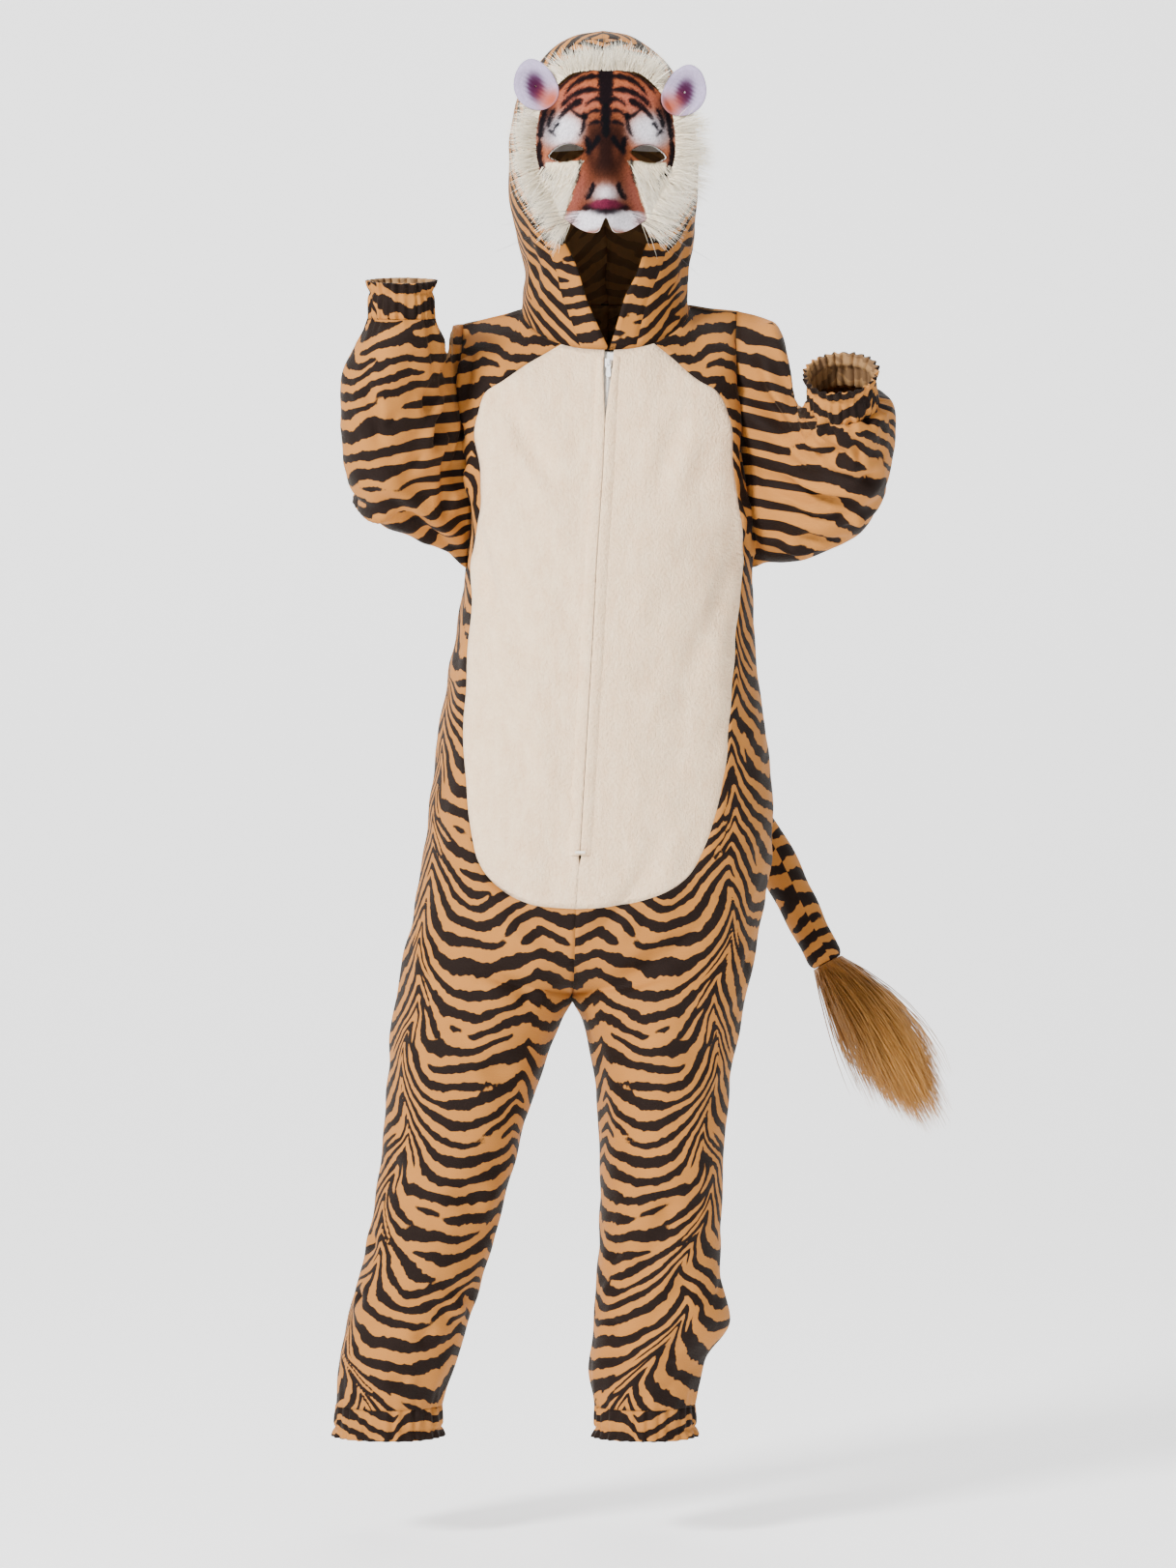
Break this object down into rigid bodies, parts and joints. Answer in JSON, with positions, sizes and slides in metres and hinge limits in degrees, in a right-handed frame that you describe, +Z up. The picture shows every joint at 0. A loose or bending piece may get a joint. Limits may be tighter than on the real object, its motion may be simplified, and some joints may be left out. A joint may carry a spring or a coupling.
{
  "type": "tiger jumpsuit costume",
  "caption": "Hooded one-piece striped velour suit with a plush belly, centre zip, gathered wrists and ankles, stuffed tail with a tuft, and a fur-edged half mask on an elastic.",
  "frame": {"origin": "between the shoulders at the base of the neck, where the suit hangs on the shoulders", "axes": "+Z up, -Y to the suit's front, +X to the suit's left side"},
  "size_m": [0.5444, 0.3493, 1.2383],
  "materials": {
    "tiger_velour": "brushed velour, dark stripes on tan",
    "cream_plush": "short plush pile",
    "zip_tape": "woven white tape with a nylon coil",
    "zip_metal": "white enamel",
    "ginger_hair": "long combed artificial hair",
    "cream_fur": "long pile artificial fur",
    "printed_mask": "moulded foam-backed felt, printed",
    "ear_felt": "printed felt",
    "white_elastic": "flat braided elastic"
  },
  "bodies": {
    "suit": {"front_right": "tiger_velour", "back_right": "tiger_velour", "sleeve_right": "tiger_velour", "cuff_right": "tiger_velour", "hem_right": "tiger_velour", "hood_right": "tiger_velour", "belly_right": "cream_plush", "zip_flap_right": "cream_plush", "mask_ear_right": "ear_felt", "front_left": "tiger_velour", "back_left": "tiger_velour", "sleeve_left": "tiger_velour", "cuff_left": "tiger_velour", "hem_left": "tiger_velour", "hood_left": "tiger_velour", "belly_left": "cream_plush", "zip_flap_left": "cream_plush", "mask_ear_left": "ear_felt", "hood_band": "tiger_velour", "zip_tape": "zip_tape", "zip_coil": "zip_tape", "zip_slider": "zip_metal", "zip_tack": "cream_plush", "tail": "tiger_velour", "tail_tuft": "ginger_hair", "mask_face": "printed_mask", "mask_fur": "cream_fur", "mask_elastic": "white_elastic"},
    "pull": {"zip_pull": "zip_metal"}
  },
  "joints": [
    {"name": "pull_swing", "type": "hinge", "parent": "suit", "child": "pull", "pos_m": [-0.00071, -0.07697, -0.03956], "axis": [-1, 0, 0], "range_deg": [0, 150]}
  ]
}
